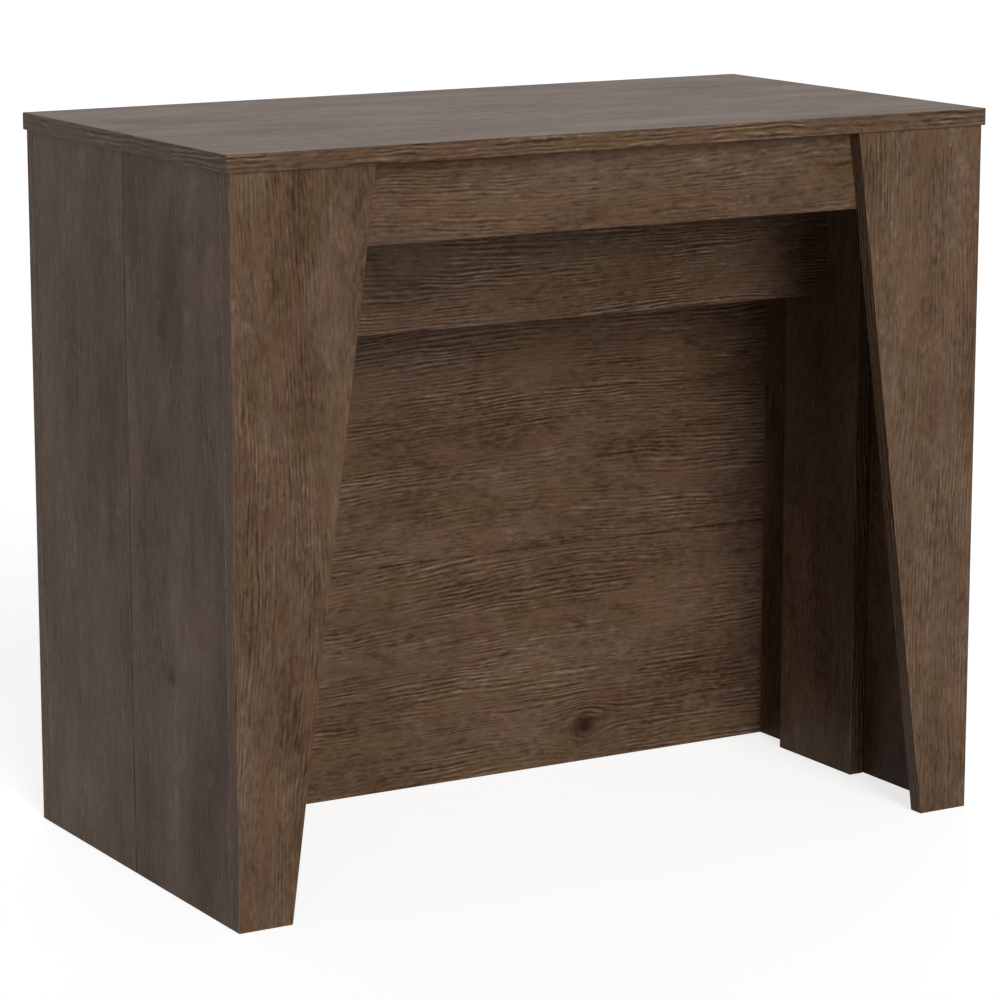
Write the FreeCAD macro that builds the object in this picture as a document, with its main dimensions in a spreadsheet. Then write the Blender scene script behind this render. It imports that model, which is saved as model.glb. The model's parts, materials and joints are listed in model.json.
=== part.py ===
"""Extending console table: two end frames and a pair of middle legs on telescopic bars.

Millimetres. X runs to the right, Y from the front to the rear (the wall side), Z up.
The origin lies on the floor, under the middle of the closed table.
"""
import FreeCAD
import Part
import Sketcher
import math
import os
import re

SIZES = {
    # closed table
    "table_width": 900,
    "table_depth": 480,
    "table_height": 770,
    "top_overhang": 3,
    # boards
    "board_thickness": 18,
    "side_thickness": 16,
    "arris_radius": 0.8,
    "leg_top_width": 160,
    "leg_foot_width": 60,
    "apron_height": 82,
    "seam_gap": 1,
    "top_clearance": 0.5,
    "back_panel_recess": 81.5,
    # middle legs
    "middle_leg_width": 140,
    "middle_leg_clearance": 1,
    "crossbar_height": 159,
    # telescopic bars and their shoes
    "bar_thickness": 10,
    "bar_height": 48,
    "bar_wall": 2,
    "bar_web": 2,
    "bar_gap": 1,
    "bar_end_gap": 1,
    "bar_side_gap": 14,
    "bar_clearance": 0.5,
    "slot_lip": 1.5,
    "slot_mouth": 16,
    "slot_height": 24,
    "shoe_length": 70,
    "shoe_clearance": 0.3,
    "peg_diameter": 4,
    # brackets
    "bracket_thickness": 2.5,
    "bend_radius": 2,
    "bracket_height": 36,
    "bracket_arm": 24,
    "bracket_reach": 44,
    "top_bracket_width": 30,
    "top_bracket_inset": 70,
    "crossbar_bracket_drop": 60,
    # fasteners
    "fit_clearance": 0.05,
    "dowel_diameter": 8,
    "dowel_length": 30,
    "dowel_face_cover": 7,
    "dowel_end_inset": 60,
    "screw_diameter": 4,
    "screw_head_diameter": 8,
    "screw_head_height": 2.4,
    "screw_socket_diameter": 3.4,
    "screw_socket_depth": 1.6,
    "screw_edge_inset": 9,
    "screw_point_cover": 6,
    "apron_screw_near": 32,
    "apron_screw_far": 112,
    "apron_screw_rise": 14,
    "leg_screw_diameter": 7,
    "leg_screw_head": 10,
    "leg_screw_socket": 4.6,
    "leg_screw_length": 50,
    "leg_screw_inset": 35,
    "cam_diameter": 15,
    "cam_face_cover": 5,
    "cam_setback": 34,
    "cam_slot_width": 2,
    "cam_slot_depth": 3,
    "cam_bolt_diameter": 7,
    "cam_bolt_reach": 11,
}

BAR_STAGES = 10
MIDDLE_STAGE = BAR_STAGES // 2
LEG_DOWELS = 4
TOP_DOWELS = 2
CAM_ROWS = 3
PEG_PLACES = (0.25, 0.75)
ON_FACE = 1e-3
SIDES = {"left": -1, "right": 1}
ENDS = {"front": -1, "rear": 1}

# Places as rules in the sheet's words. Those named HALF, IN or OUT are distances from the centre planes.
HALF_WIDTH = "(table_width / 2 - top_overhang)"
HALF_DEPTH = "(table_depth / 2 - top_overhang)"
SIDE_IN = f"({HALF_WIDTH} - side_thickness)"
LEG_IN = f"({HALF_DEPTH} - board_thickness)"
APRON_IN = f"({LEG_IN} - board_thickness)"
MIDDLE_OUT = f"({SIDE_IN} - middle_leg_clearance)"
MIDDLE_IN = f"({MIDDLE_OUT} - board_thickness)"
BACK_REAR = f"({HALF_DEPTH} - back_panel_recess)"
UNDER_TOP = "(table_height - board_thickness)"
SLIDE_LEVEL = f"({UNDER_TOP} - top_clearance)"
BAR_BOTTOM = f"({SLIDE_LEVEL} - bar_height)"
BAR_MIDDLE = f"({SLIDE_LEVEL} - bar_height / 2)"
BAR_REST = f"({BAR_BOTTOM} - bar_clearance)"
BAR_HALF = f"({APRON_IN} - bar_end_gap)"
BAR_LENGTH = f"(2 * {BAR_HALF})"
SLOT_DEPTH = "((bar_thickness - bar_web) / 2)"
DOWEL_FACE_DEPTH = "(board_thickness - dowel_face_cover)"
SCREW_GRIP = "(board_thickness - screw_point_cover)"
BAR_SCREW_GRIP = f"({SLOT_DEPTH} + bar_web)"

doc = FreeCAD.newDocument("ConsoleTable")
sheet = doc.addObject("Spreadsheet::Sheet", "Size")
for row, (alias, number) in enumerate(SIZES.items(), 1):
    sheet.set(f"A{row}", alias)
    sheet.set(f"B{row}", str(number))
    sheet.setAlias(f"B{row}", alias)
doc.recompute()

nodes = []
corner_of = {}


def formula(rule):
    """A rule in the sheet's words, as the document refers to the sheet."""
    return re.sub(r"[a-z_]+", lambda word: f"Size.{word[0]}", rule)


def bind(item, **rules):
    """Tie properties of a document object to rules."""
    for name, rule in rules.items():
        item.setExpression(name, formula(rule))


def place(item, at, toward=None):
    """Put an object's origin at three rules, with its own Z along the given direction."""
    if toward:
        turn = FreeCAD.Rotation(FreeCAD.Vector(0, 0, 1), FreeCAD.Vector(*toward))
        item.Placement = FreeCAD.Placement(FreeCAD.Vector(), turn)
    for axis, rule in zip("xyz", at):
        item.setExpression(f"Placement.Base.{axis}", formula(rule))


def span(sign, near, far):
    """Low end of a stretch that runs from near to far on one side of a centre plane."""
    return near if sign > 0 else f"-({far})"


def mirrored(sign, distance):
    """A distance from a centre plane, on one side of it."""
    return f"{sign} * ({distance})"


def opposite(toward):
    """The reverse of a direction."""
    return tuple(-part for part in toward)


def outer_face(stage):
    """Distance of a bar's outer face from the centre plane."""
    return f"({MIDDLE_IN} - bar_side_gap - {stage} * (bar_thickness + bar_gap))"


def inner_face(stage):
    """Distance of a bar's inner face from the centre plane."""
    return f"({outer_face(stage)} - bar_thickness)"


# Bodies and the features they are made of

def new_body(label, at, is_node=True):
    """An empty body with its origin at the piece's low corner."""
    body = doc.addObject("PartDesign::Body", label)
    body.Label = label
    place(body, at)
    corner_of[label] = at
    if is_node:
        nodes.append(body)
    return body


def local(body, at):
    """A place in the table's frame, seen from a body's low corner."""
    return [f"{rule} - ({corner})" for rule, corner in zip(at, corner_of[body.Label])]


def add_box(body, at, size):
    """A rectangular block of material."""
    block = body.newObject("PartDesign::AdditiveBox", "Block")
    place(block, local(body, at))
    bind(block, Length=size[0], Width=size[1], Height=size[2])


def drill(body, at, toward, diameter, depth):
    """A round hole with the named fit clearance, for a pin, dowel or screw of the given diameter."""
    hole = body.newObject("PartDesign::SubtractiveCylinder", "Hole")
    place(hole, local(body, at), toward)
    bind(hole, Radius=f"({diameter}) / 2 + fit_clearance", Height=depth)


def countersink(body, at, toward, wide, narrow, depth):
    """A conical seat for a flush screw head."""
    seat = body.newObject("PartDesign::SubtractiveCone", "Seat")
    place(seat, local(body, at), toward)
    bind(seat, Radius1=f"({wide}) / 2 + fit_clearance", Height=depth)
    bind(seat, Radius2=f"({narrow}) / 2 + fit_clearance")


def draw(body, plane, loops):
    """A sketch of closed loops, every corner held by its two distances from the sketch's origin."""
    sketch = body.newObject("Sketcher::SketchObject", "Outline")
    support = [item for item in body.Origin.OriginFeatures if item.Role == plane]
    sketch.AttachmentSupport = [(support[0], "")]
    sketch.MapMode = "FlatFace"
    lines = []
    ties = []
    rules = {}
    for loop in loops:
        first = len(lines)
        count = len(loop)
        turn = 2 * math.pi / count
        ring = [FreeCAD.Vector(math.cos(turn * i), math.sin(turn * i), 0) for i in range(count)]
        for i, corner in enumerate(loop):
            lines.append(Part.LineSegment(ring[i], ring[(i + 1) % count]))
            ties.append(Sketcher.Constraint("Coincident", first + i, 2, first + (i + 1) % count, 1))
            for kind, axis, rule in zip(("DistanceX", "DistanceY"), (-2, -1), corner):
                if rule == "0":
                    ties.append(Sketcher.Constraint("PointOnObject", first + i, 1, axis))
                else:
                    rules[len(ties)] = rule
                    ties.append(Sketcher.Constraint(kind, -1, 1, first + i, 1, 1))
    sketch.addGeometry(lines, False)
    sketch.addConstraint(ties)
    for index, rule in rules.items():
        sketch.setExpression(f"Constraints[{index}]", formula(rule))
    return sketch


def extrude(body, loops, depth):
    """Loops drawn in X and Z, drawn out along Y."""
    pad = body.newObject("PartDesign::Pad", "Pad")
    pad.Profile = draw(body, "XZ_Plane", loops)
    pad.Reversed = True
    bind(pad, Length=depth)


def soften(body, raw_faces):
    """Round the arrises of a board, apart from those of its raw faces, such as z+ for the highest."""
    doc.recompute()
    board = body.Tip.Shape
    whole = board.BoundBox
    limits = {
        "x-": lambda box: box.XMax - whole.XMin,
        "x+": lambda box: whole.XMax - box.XMin,
        "y-": lambda box: box.YMax - whole.YMin,
        "y+": lambda box: whole.YMax - box.YMin,
        "z-": lambda box: box.ZMax - whole.ZMin,
        "z+": lambda box: whole.ZMax - box.ZMin,
    }
    names = []
    for number, edge in enumerate(board.Edges, 1):
        if all(limits[face](edge.BoundBox) > ON_FACE for face in raw_faces):
            names.append(f"Edge{number}")
    base = body.Tip
    arris = body.newObject("PartDesign::Fillet", "Arris")
    arris.Base = (base, names)
    bind(arris, Radius="arris_radius")


def bend(body):
    """Round the bend of an angle, inside and outside, so that its sheet keeps one thickness.

    The inside of the bend is the one edge that lies on no limit of the angle's box, and the outside
    of the bend is the edge nearest to it.
    """
    doc.recompute()
    angle = body.Tip.Shape
    whole = angle.BoundBox
    low = (whole.XMin, whole.YMin, whole.ZMin)
    high = (whole.XMax, whole.YMax, whole.ZMax)

    def is_free(middle):
        return all(a + ON_FACE < place < b - ON_FACE for a, place, b in zip(low, middle, high))

    middles = [edge.BoundBox.Center for edge in angle.Edges]
    inside = [middle for middle in middles if is_free(middle)][0]
    others = [middle for middle in middles if not is_free(middle)]
    outside = min(others, key=inside.distanceToPoint)
    for middle, radius in ((inside, "bend_radius"), (outside, "bend_radius + bracket_thickness")):
        base = body.Tip
        names = []
        for number, edge in enumerate(base.Shape.Edges, 1):
            if edge.BoundBox.Center.distanceToPoint(middle) < ON_FACE:
                names.append(f"Edge{number}")
        turn = body.newObject("PartDesign::Fillet", "Bend")
        turn.Base = (base, names)
        bind(turn, Radius=radius)
        doc.recompute()


# Small pieces that share a node

def group(label, solids):
    """One node of separate solids."""
    bundle = doc.addObject("Part::Compound", label)
    bundle.Label = label
    bundle.Links = solids
    nodes.append(bundle)


def box(at, size):
    """A plain block."""
    block = doc.addObject("Part::Box", "Block")
    place(block, at)
    bind(block, Length=size[0], Width=size[1], Height=size[2])
    return block


def rod(at, toward, diameter, length):
    """A plain cylinder from a point in a direction."""
    cylinder = doc.addObject("Part::Cylinder", "Rod")
    place(cylinder, at, toward)
    bind(cylinder, Radius=f"({diameter}) / 2", Height=length)
    return cylinder


def cone(at, toward, wide, narrow, length):
    """A cone that narrows from a point in a direction."""
    taper = doc.addObject("Part::Cone", "Taper")
    place(taper, at, toward)
    bind(taper, Radius1=f"({wide}) / 2", Radius2=f"({narrow}) / 2", Height=length)
    return taper


def fuse(shapes):
    """One solid from pieces that meet."""
    whole = doc.addObject("Part::MultiFuse", "Solid")
    whole.Shapes = shapes
    whole.Refine = True
    return whole


def socketed(screw, at, toward, diameter):
    """A screw with a six-sided key socket sunk into its head."""
    key = doc.addObject("Part::Prism", "Socket")
    key.Polygon = 6
    place(key, at, toward)
    bind(key, Circumradius=f"({diameter}) / 2", Height="screw_socket_depth")
    cut = doc.addObject("Part::Cut", "Screw")
    cut.Base = screw
    cut.Tool = key
    return cut


def raised_screw(at, toward, grip):
    """A screw whose flat head stands on the surface at its start."""
    head = rod(at, opposite(toward), "screw_head_diameter", "screw_head_height")
    shank = rod(at, toward, "screw_diameter", grip)
    head_top = [f"{rule} - ({part}) * screw_head_height" for rule, part in zip(at, toward)]
    return socketed(fuse([head, shank]), head_top, toward, "screw_socket_diameter")


def flush_screw(at, toward, head, diameter, length, socket):
    """A screw whose conical head is sunk level with the surface at its start."""
    seat = cone(at, toward, head, diameter, flush_head_depth(head, diameter))
    shank = rod(at, toward, diameter, length)
    return socketed(fuse([seat, shank]), at, toward, socket)


def flush_head_depth(head, diameter):
    """Depth of a right-angled countersunk head."""
    return f"(({head}) - ({diameter})) / 2"


# Boards

def board(label, at, size, raw_faces=()):
    """A rectangular board with softened arrises."""
    body = new_body(label, at)
    add_box(body, at, size)
    soften(body, raw_faces)
    return body


def frame_height(end):
    """Front boards carry the top; rear boards stay clear of it, because it slides over them."""
    return UNDER_TOP if end == "front" else SLIDE_LEVEL


def leg_panel(end, side):
    """A tapered board at a corner, upright along its outer edge."""
    x_sign = SIDES[side]
    y_sign = ENDS[end]
    height = frame_height(end)
    at = (span(x_sign, f"{HALF_WIDTH} - leg_top_width", HALF_WIDTH), span(y_sign, LEG_IN, HALF_DEPTH), "0")
    if side == "left":
        outline = [("0", "0"), ("leg_foot_width", "0"), ("leg_top_width", height), ("0", height)]
    else:
        inner_foot = "leg_top_width - leg_foot_width"
        outline = [(inner_foot, "0"), ("leg_top_width", "0"), ("leg_top_width", height), ("0", height)]
    body = new_body(f"{end}_{side}_leg_panel", at)
    extrude(body, [outline], "board_thickness")
    soften(body, ("z+", "y+" if end == "front" else "y-"))
    return body


def side_panel(end, side):
    """A side board, from behind its leg panel to the seam in the middle."""
    x_sign = SIDES[side]
    y_sign = ENDS[end]
    at = (span(x_sign, SIDE_IN, HALF_WIDTH), span(y_sign, "seam_gap / 2", LEG_IN), "0")
    size = ("side_thickness", f"{LEG_IN} - seam_gap / 2", frame_height(end))
    return board(f"{end}_{side}_side_panel", at, size, ("z+", "y-" if end == "front" else "y+"))


def apron(end):
    """The rail behind a pair of leg panels, between the side panels."""
    y_sign = ENDS[end]
    low = f"{UNDER_TOP} - apron_height"
    at = (f"-{SIDE_IN}", span(y_sign, APRON_IN, LEG_IN), low)
    size = (f"2 * {SIDE_IN}", "board_thickness", f"{frame_height(end)} - ({low})")
    return board(f"{end}_apron", at, size, ("x-", "x+", "z+", "y-" if end == "front" else "y+"))


table_top = board(
    "table_top",
    ("-table_width / 2", "-table_depth / 2", UNDER_TOP),
    ("table_width", "table_depth", "board_thickness"),
)
back_panel = board(
    "back_panel",
    (f"-{SIDE_IN}", f"{BACK_REAR} - board_thickness", "0"),
    (f"2 * {SIDE_IN}", "board_thickness", BAR_REST),
    ("x-", "x+"),
)
crossbar = board(
    "middle_crossbar",
    (f"-{MIDDLE_IN}", "-board_thickness / 2", f"{BAR_REST} - crossbar_height"),
    (f"2 * {MIDDLE_IN}", "board_thickness", "crossbar_height"),
    ("x-", "x+"),
)
middle_legs = {}
for side, x_sign in SIDES.items():
    middle_legs[side] = board(
        f"middle_{side}_leg",
        (span(x_sign, MIDDLE_IN, MIDDLE_OUT), "-middle_leg_width / 2", "0"),
        ("board_thickness", "middle_leg_width", SLIDE_LEVEL),
    )
leg_panels = {}
side_panels = {}
aprons = {}
for end in ENDS:
    aprons[end] = apron(end)
    for side in SIDES:
        leg_panels[end, side] = leg_panel(end, side)
        side_panels[end, side] = side_panel(end, side)


# Telescopic bars and their shoes

def bar_outline():
    """Section of a bar: a lipped slot in each face and a hollow chamber above and below."""
    lip = "slot_lip"
    far_lip = "bar_thickness - slot_lip"
    web = SLOT_DEPTH
    far_web = f"bar_thickness - {SLOT_DEPTH}"
    mouth_low = "(bar_height - slot_mouth) / 2"
    mouth_high = "(bar_height + slot_mouth) / 2"
    slot_low = "(bar_height - slot_height) / 2"
    slot_high = "(bar_height + slot_height) / 2"
    outside = [
        ("0", "0"), ("bar_thickness", "0"),
        ("bar_thickness", mouth_low), (far_lip, mouth_low), (far_lip, slot_low), (far_web, slot_low),
        (far_web, slot_high), (far_lip, slot_high), (far_lip, mouth_high), ("bar_thickness", mouth_high),
        ("bar_thickness", "bar_height"), ("0", "bar_height"),
        ("0", mouth_high), (lip, mouth_high), (lip, slot_high), (web, slot_high),
        (web, slot_low), (lip, slot_low), (lip, mouth_low), ("0", mouth_low),
    ]
    chambers = [
        ("bar_wall", f"{slot_low} - bar_wall"),
        (f"{slot_high} + bar_wall", "bar_height - bar_wall"),
    ]
    loops = [outside]
    for low, high in chambers:
        far_wall = "bar_thickness - bar_wall"
        loops.append([("bar_wall", low), (far_wall, low), (far_wall, high), ("bar_wall", high)])
    return loops


def peg_rows(is_rear):
    """Where a shoe's pegs stand along Y, at the rear or the front end of its bar."""
    for share in PEG_PLACES:
        from_end = f"({BAR_HALF} - {share} * shoe_length)"
        yield mirrored(1 if is_rear else -1, from_end)


def bar(side, stage):
    """One bar, with the holes in its web that its own shoes snap into."""
    x_sign = SIDES[side]
    at = (span(x_sign, inner_face(stage), outer_face(stage)), f"-{BAR_HALF}", BAR_BOTTOM)
    body = new_body(f"{side}_rail_bar_{stage:02d}", at)
    extrude(body, bar_outline(), BAR_LENGTH)
    web_face = mirrored(x_sign, f"{inner_face(stage)} + {SLOT_DEPTH}")
    for is_rear, has_shoe in ((True, stage > 0), (False, stage < BAR_STAGES)):
        if has_shoe:
            for row in peg_rows(is_rear):
                drill(body, (web_face, row, BAR_MIDDLE), (x_sign, 0, 0), "peg_diameter", "bar_web")
    return body


def shoe(side, stage, is_rear):
    """A nylon key: one head fixed in its own bar's slot, the other free to run in the next bar's slot.

    The rear shoe reaches outwards to the bar before, the front shoe inwards to the bar after.
    """
    x_sign = SIDES[side]
    face = outer_face(stage) if is_rear else inner_face(stage)
    low_y = f"{BAR_HALF} - shoe_length" if is_rear else f"-{BAR_HALF}"

    def slab(start, stop, height):
        if is_rear:
            low_x = span(x_sign, f"{face} + {start}", f"{face} + {stop}")
        else:
            low_x = span(x_sign, f"{face} - ({stop})", f"{face} - ({start})")
        low_z = f"{BAR_MIDDLE} - ({height}) / 2"
        return box((low_x, low_y, low_z), (f"{stop} - ({start})", "shoe_length", height))

    free_start = "bar_gap + slot_lip + shoe_clearance"
    free_stop = f"bar_gap + {SLOT_DEPTH} - shoe_clearance"
    pieces = [
        slab(f"-{SLOT_DEPTH}", "-slot_lip", "slot_height"),
        slab("-slot_lip", free_start, "slot_mouth - 2 * shoe_clearance"),
        slab(free_start, free_stop, "slot_height - 2 * shoe_clearance"),
    ]
    into_web = -x_sign if is_rear else x_sign
    web_face = f"{face} - {SLOT_DEPTH}" if is_rear else f"{face} + {SLOT_DEPTH}"
    for row in peg_rows(is_rear):
        start = (mirrored(x_sign, web_face), row, BAR_MIDDLE)
        pieces.append(rod(start, (into_web, 0, 0), "peg_diameter", "bar_web"))
    return fuse(pieces)


bars = {}
for stage in range(BAR_STAGES + 1):
    shoes = []
    for side in SIDES:
        bars[side, stage] = bar(side, stage)
        if stage > 0:
            shoes.append(shoe(side, stage, True))
        if stage < BAR_STAGES:
            shoes.append(shoe(side, stage, False))
    group(f"rail_shoes_{stage:02d}", shoes)


# Brackets, with the screws that hold them

screws = {"front": [], "rear": [], "middle": []}


def bar_screw(owner, bracket, side_bar, start, toward):
    """A screw through a bracket and a bar's open slot into the bar's web."""
    drill(bracket, start, toward, "screw_diameter", "bracket_thickness")
    through = f"bracket_thickness + {BAR_SCREW_GRIP}"
    drill(side_bar, start, toward, "screw_diameter", through)
    screws[owner].append(raised_screw(start, toward, through))


def board_screw(owner, bracket, panel, start, toward):
    """A screw through a bracket into a board."""
    through = f"bracket_thickness + {SCREW_GRIP}"
    drill(bracket, start, toward, "screw_diameter", "bracket_thickness")
    drill(panel, start, toward, "screw_diameter", through)
    screws[owner].append(raised_screw(start, toward, through))


def end_bracket(end, side):
    """An angle that holds an end bar to its apron, on the bar's free face."""
    x_sign = SIDES[side]
    y_sign = ENDS[end]
    is_rear = end == "rear"
    stage = 0 if is_rear else BAR_STAGES
    face = outer_face(stage) if is_rear else inner_face(stage)
    outwards = 1 if is_rear else -1
    low_z = f"{BAR_MIDDLE} - bracket_height / 2"

    def flange(width):
        return span(x_sign, face, f"{face} + {width}") if is_rear else span(x_sign, f"{face} - {width}", face)

    on_bar = (flange("bracket_thickness"), span(y_sign, f"{APRON_IN} - bracket_reach", APRON_IN), low_z)
    on_apron = (flange("bracket_arm"), span(y_sign, f"{APRON_IN} - bracket_thickness", APRON_IN), low_z)
    body = new_body(f"{end}_{side}_bracket", on_bar, is_node=False)
    add_box(body, on_bar, ("bracket_thickness", "bracket_reach", "bracket_height"))
    add_box(body, on_apron, ("bracket_arm", "bracket_thickness", "bracket_height"))
    bend(body)

    bar_x = mirrored(x_sign, f"{face} + {outwards} * bracket_thickness")
    for inset in ("screw_edge_inset", "bracket_reach / 2"):
        row = mirrored(y_sign, f"{APRON_IN} - bracket_reach + {inset}")
        bar_screw(end, body, bars[side, stage], (bar_x, row, BAR_MIDDLE), (-outwards * x_sign, 0, 0))

    arm_x = mirrored(x_sign, f"{face} + {outwards} * (bracket_arm - screw_edge_inset)")
    apron_y = mirrored(y_sign, f"{APRON_IN} - bracket_thickness")
    for lift in (-1, 1):
        height = f"{BAR_MIDDLE} + {lift} * (bracket_height / 2 - screw_edge_inset)"
        board_screw(end, body, aprons[end], (arm_x, apron_y, height), (0, y_sign, 0))
    return body


def top_bracket(side, row_sign):
    """An angle that holds the table top to a last bar, on the bar's free face."""
    x_sign = SIDES[side]
    face = inner_face(BAR_STAGES)
    centre_y = mirrored(row_sign, f"{BAR_HALF} - top_bracket_inset")
    low_y = f"{centre_y} - top_bracket_width / 2"
    drop = f"({UNDER_TOP} - {BAR_MIDDLE} + screw_edge_inset)"
    on_bar = (span(x_sign, f"{face} - bracket_thickness", face), low_y, f"{UNDER_TOP} - {drop}")
    on_top = (span(x_sign, f"{face} - bracket_arm", face), low_y, f"{UNDER_TOP} - bracket_thickness")
    end = "front" if row_sign < 0 else "rear"
    body = new_body(f"{side}_{end}_top_bracket", on_bar, is_node=False)
    add_box(body, on_bar, ("bracket_thickness", "top_bracket_width", drop))
    add_box(body, on_top, ("bracket_arm", "top_bracket_width", "bracket_thickness"))
    bend(body)

    bar_x = mirrored(x_sign, f"{face} - bracket_thickness")
    bar_screw("front", body, bars[side, BAR_STAGES], (bar_x, centre_y, BAR_MIDDLE), (x_sign, 0, 0))
    arm_x = mirrored(x_sign, f"{face} - bracket_arm + screw_edge_inset")
    board_screw("front", body, table_top, (arm_x, centre_y, f"{UNDER_TOP} - bracket_thickness"), (0, 0, 1))
    return body


def crossbar_bracket(side):
    """An angle behind the crossbar that carries the middle bar; no wider than that bar."""
    x_sign = SIDES[side]
    low_x = span(x_sign, inner_face(MIDDLE_STAGE), outer_face(MIDDLE_STAGE))
    rear_face = "board_thickness / 2"
    on_crossbar = (low_x, rear_face, f"{BAR_BOTTOM} - crossbar_bracket_drop")
    under_bar = (low_x, rear_face, f"{BAR_BOTTOM} - bracket_thickness")
    body = new_body(f"{side}_crossbar_bracket", on_crossbar, is_node=False)
    add_box(body, on_crossbar, ("bar_thickness", "bracket_thickness", "crossbar_bracket_drop"))
    add_box(body, under_bar, ("bar_thickness", "bracket_reach", "bracket_thickness"))
    bend(body)

    centre_x = mirrored(x_sign, f"{inner_face(MIDDLE_STAGE)} + bar_thickness / 2")
    middle_bar = bars[side, MIDDLE_STAGE]
    for inset in ("screw_edge_inset", "bracket_reach / 2"):
        start = (centre_x, f"{rear_face} + bracket_reach - {inset}", f"{BAR_BOTTOM} - bracket_thickness")
        drill(body, start, (0, 0, 1), "screw_diameter", "bracket_thickness")
        drill(middle_bar, start, (0, 0, 1), "screw_diameter", "bracket_thickness + bar_wall")
        screws["middle"].append(raised_screw(start, (0, 0, 1), "bracket_thickness + bar_wall"))
    for rise in ("screw_edge_inset", "crossbar_bracket_drop / 2"):
        height = f"{BAR_BOTTOM} - crossbar_bracket_drop + {rise}"
        start = (centre_x, f"{rear_face} + bracket_thickness", height)
        board_screw("middle", body, crossbar, start, (0, -1, 0))
    return body


for end in ENDS:
    group(f"{end}_rail_brackets", [end_bracket(end, side) for side in SIDES])
group("top_brackets", [top_bracket(side, row_sign) for side in SIDES for row_sign in (-1, 1)])
group("middle_rail_brackets", [crossbar_bracket(side) for side in SIDES])


# Dowels, apron screws, leg screws and cam fittings

def dowel(holders, start, toward):
    """A glued dowel and its hole in both boards; the start is its end in the first board."""
    for holder in holders:
        drill(holder, start, toward, "dowel_diameter", "dowel_length")
    return rod(start, toward, "dowel_diameter", "dowel_length")


def corner_dowels(end, side):
    """Dowels from a side panel's end into the back of its leg panel."""
    x_sign = SIDES[side]
    y_sign = ENDS[end]
    start_x = mirrored(x_sign, f"{HALF_WIDTH} - side_thickness / 2")
    start_y = mirrored(y_sign, f"{LEG_IN} + {DOWEL_FACE_DEPTH} - dowel_length")
    step = f"({frame_height(end)} - 2 * dowel_end_inset) / {LEG_DOWELS - 1}"
    holders = (side_panels[end, side], leg_panels[end, side])
    for row in range(LEG_DOWELS):
        start = (start_x, start_y, f"dowel_end_inset + {row} * {step}")
        yield dowel(holders, start, (0, y_sign, 0))


def top_dowels(side):
    """Dowels from the top edge of a front side panel into the table top."""
    x_sign = SIDES[side]
    start_x = mirrored(x_sign, f"{HALF_WIDTH} - side_thickness / 2")
    start_z = f"{UNDER_TOP} + {DOWEL_FACE_DEPTH} - dowel_length"
    step = f"({LEG_IN} - 2 * dowel_end_inset) / {TOP_DOWELS - 1}"
    for row in range(TOP_DOWELS):
        start = (start_x, f"-({LEG_IN} - dowel_end_inset - {row} * {step})", start_z)
        yield dowel((side_panels["front", side], table_top), start, (0, 0, 1))


def apron_screws(end, side):
    """Flush screws through an apron into the leg panel in front of it."""
    x_sign = SIDES[side]
    y_sign = ENDS[end]
    toward = (0, y_sign, 0)
    head = ("screw_head_diameter", "screw_diameter")
    for inset in ("apron_screw_near", "apron_screw_far"):
        start_x = mirrored(x_sign, f"{HALF_WIDTH} - {inset}")
        start = (start_x, mirrored(y_sign, APRON_IN), f"{UNDER_TOP} - apron_height + apron_screw_rise")
        length = f"board_thickness + {SCREW_GRIP}"
        countersink(aprons[end], start, toward, *head, flush_head_depth(*head))
        drill(aprons[end], start, toward, "screw_diameter", "board_thickness")
        drill(leg_panels[end, side], start, toward, "screw_diameter", length)
        screws[end].append(flush_screw(start, toward, *head, length, "screw_socket_diameter"))


def middle_leg_screws(side):
    """Flush screws through a middle leg into the end of the crossbar."""
    x_sign = SIDES[side]
    toward = (-x_sign, 0, 0)
    head = ("leg_screw_head", "leg_screw_diameter")
    for height in (f"{BAR_REST} - leg_screw_inset", f"{BAR_REST} - crossbar_height + leg_screw_inset"):
        start = (mirrored(x_sign, MIDDLE_OUT), "0", height)
        countersink(middle_legs[side], start, toward, *head, flush_head_depth(*head))
        drill(middle_legs[side], start, toward, "leg_screw_diameter", "board_thickness")
        drill(crossbar, start, toward, "leg_screw_diameter", "leg_screw_length")
        screws["middle"].append(flush_screw(start, toward, *head, "leg_screw_length", "leg_screw_socket"))


def cam_fittings(side):
    """Slotted cams in the rear face of the back panel, and their bolts into the rear side panel."""
    x_sign = SIDES[side]
    cam_x = f"{SIDE_IN} - cam_setback"
    cam_depth = "(board_thickness - cam_face_cover)"
    bolt_start = f"({cam_x} + cam_diameter / 2 + 2 * fit_clearance)"
    bolt_length = f"{SIDE_IN} + cam_bolt_reach - {bolt_start}"
    for row in range(CAM_ROWS):
        height = f"({row} + 0.5) * {BAR_REST} / {CAM_ROWS}"
        seat = (mirrored(x_sign, cam_x), BACK_REAR, height)
        drill(back_panel, seat, (0, -1, 0), "cam_diameter", cam_depth)
        slot_low = f"{height} - cam_slot_width / 2"
        slot_at = (f"{seat[0]} - cam_diameter / 2", f"{BACK_REAR} - cam_slot_depth", slot_low)
        cam = doc.addObject("Part::Cut", "Cam")
        cam.Base = rod(seat, (0, -1, 0), "cam_diameter", cam_depth)
        cam.Tool = box(slot_at, ("cam_diameter", "cam_slot_depth", "cam_slot_width"))
        start = (mirrored(x_sign, bolt_start), f"{BACK_REAR} - board_thickness / 2", height)
        drill(back_panel, start, (x_sign, 0, 0), "cam_bolt_diameter", bolt_length)
        drill(side_panels["rear", side], start, (x_sign, 0, 0), "cam_bolt_diameter", bolt_length)
        yield cam, rod(start, (x_sign, 0, 0), "cam_bolt_diameter", bolt_length)


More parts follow.
